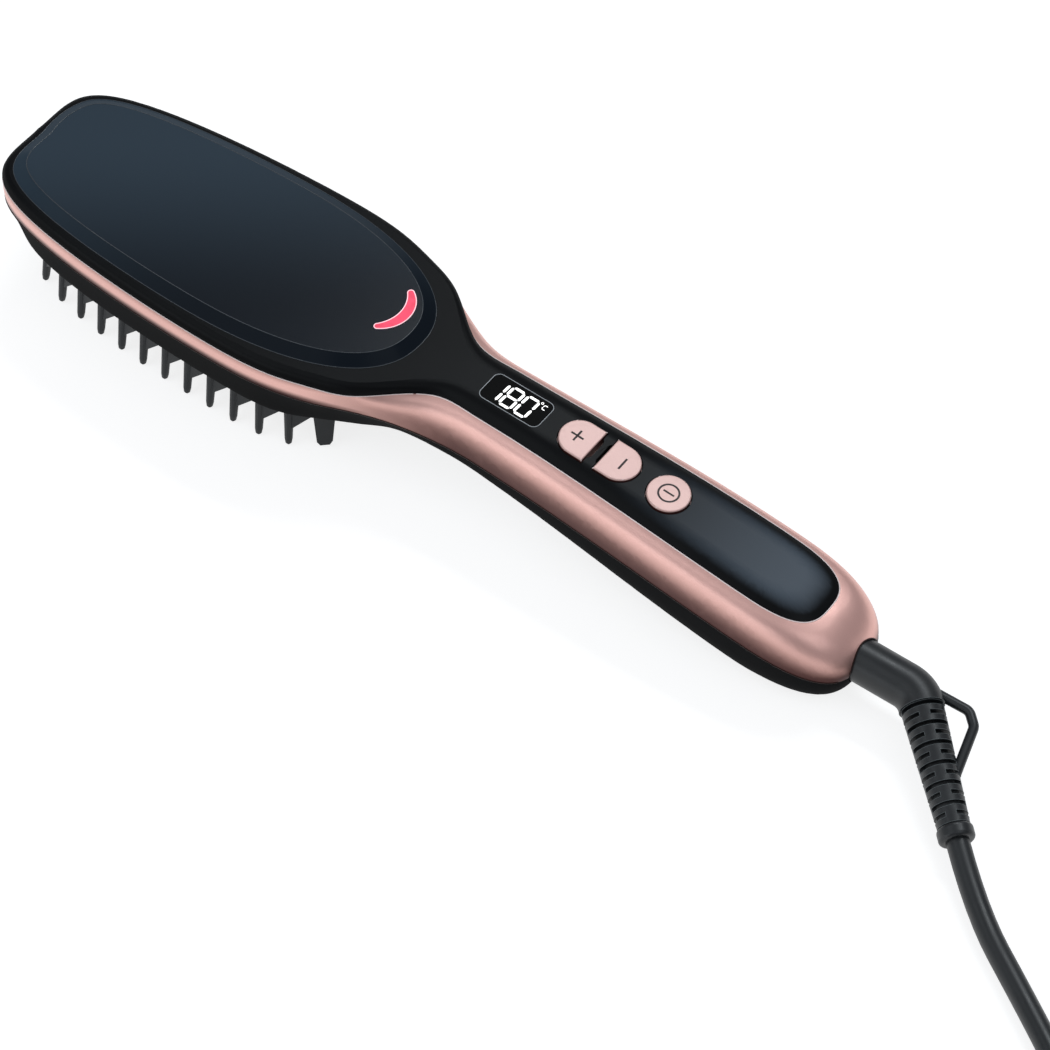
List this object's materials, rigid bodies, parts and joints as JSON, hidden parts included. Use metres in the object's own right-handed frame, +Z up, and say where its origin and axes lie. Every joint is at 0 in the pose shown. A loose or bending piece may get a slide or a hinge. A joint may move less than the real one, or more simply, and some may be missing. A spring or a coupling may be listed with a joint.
{
  "type": "hair straightening brush",
  "caption": "Electric hair straightening brush: oval head with heated bristles and guard combs, slim handle with display and buttons, swivel cord with hang loop and plug.",
  "frame": {"origin": "middle of the brush's own box, on the surface that it rests on, bristles down; the cord and its plug are not counted", "axes": "+X along the brush from the head's tip to the cord, +Z up out of the back of the head, +Y to the side"},
  "size_m": [0.5104, 0.1581, 0.0423],
  "materials": {
    "black_shell": "satin black with a faint blue cast",
    "rose_gold": "satin rose gold metallic coating",
    "gloss_black": "high gloss black",
    "indicator_red": "translucent red, lit",
    "display_black": "smoked window",
    "circuit_board": "solder mask",
    "switch_black": "matt",
    "steel": "bright",
    "capacitor": "moulded case",
    "black_nylon": "semi-matt",
    "ceramic_coat": "satin ceramic coating",
    "ceramic": "matt",
    "thermistor_glass": "glazed bead",
    "mica": "insulating sheet",
    "white_plastic": "moulded",
    "brass": "bright",
    "cord_rubber": "satin black",
    "tie_black": "woven hook and loop strap",
    "nickel": "nickel plated"
  },
  "bodies": {
    "housing": {"lower_shell": "black_shell", "trim_band": "rose_gold", "upper_shell": "black_shell", "back_panel": "gloss_black", "indicator_lens": "indicator_red", "indicator_board": "circuit_board", "indicator_led": "indicator_red", "display_window": "display_black", "display_module": "white_plastic", "control_board": "circuit_board", "tact_switches": "switch_black", "board_screws": "steel", "mains_capacitor": "capacitor", "guard_comb": "black_nylon", "heater_plate": "ceramic_coat", "cool_tips": "black_nylon", "ceramic_heaters": "ceramic", "heater_clamp": "steel", "clamp_screws": "steel", "thermal_fuse": "ceramic", "thermistor": "thermistor_glass", "heat_shield": "mica", "housing_screws": "steel", "swivel_bush": "white_plastic", "contact_block": "switch_black", "contact_springs": "brass"},
    "plus_key": {"plus_button": "rose_gold"},
    "minus_key": {"minus_button": "rose_gold"},
    "power_key": {"power_button": "rose_gold"},
    "cord_set": {"swivel_core": "switch_black", "slip_rings": "brass", "strain_relief": "cord_rubber", "power_cord": "cord_rubber", "cord_coil": "cord_rubber", "cord_tail": "cord_rubber", "cord_tie": "tie_black", "plug_body": "cord_rubber", "plug_pins": "nickel"}
  },
  "joints": [
    {"name": "plus_press", "type": "slide", "parent": "housing", "child": "plus_key", "axis": [-0.0743, 0, -0.9972], "range_m": [0, 0.00045], "stiffness_N_per_m": 1500},
    {"name": "minus_press", "type": "slide", "parent": "housing", "child": "minus_key", "axis": [-0.0743, 0, -0.9972], "range_m": [0, 0.00045], "stiffness_N_per_m": 1500},
    {"name": "power_press", "type": "slide", "parent": "housing", "child": "power_key", "axis": [-0.0743, 0, -0.9972], "range_m": [0, 0.00045], "stiffness_N_per_m": 1500},
    {"name": "cord_swivel", "type": "hinge", "parent": "housing", "child": "cord_set", "pos_m": [0.1425, 0, 0.0136], "axis": [1, 0, 0], "continuous": true}
  ]
}
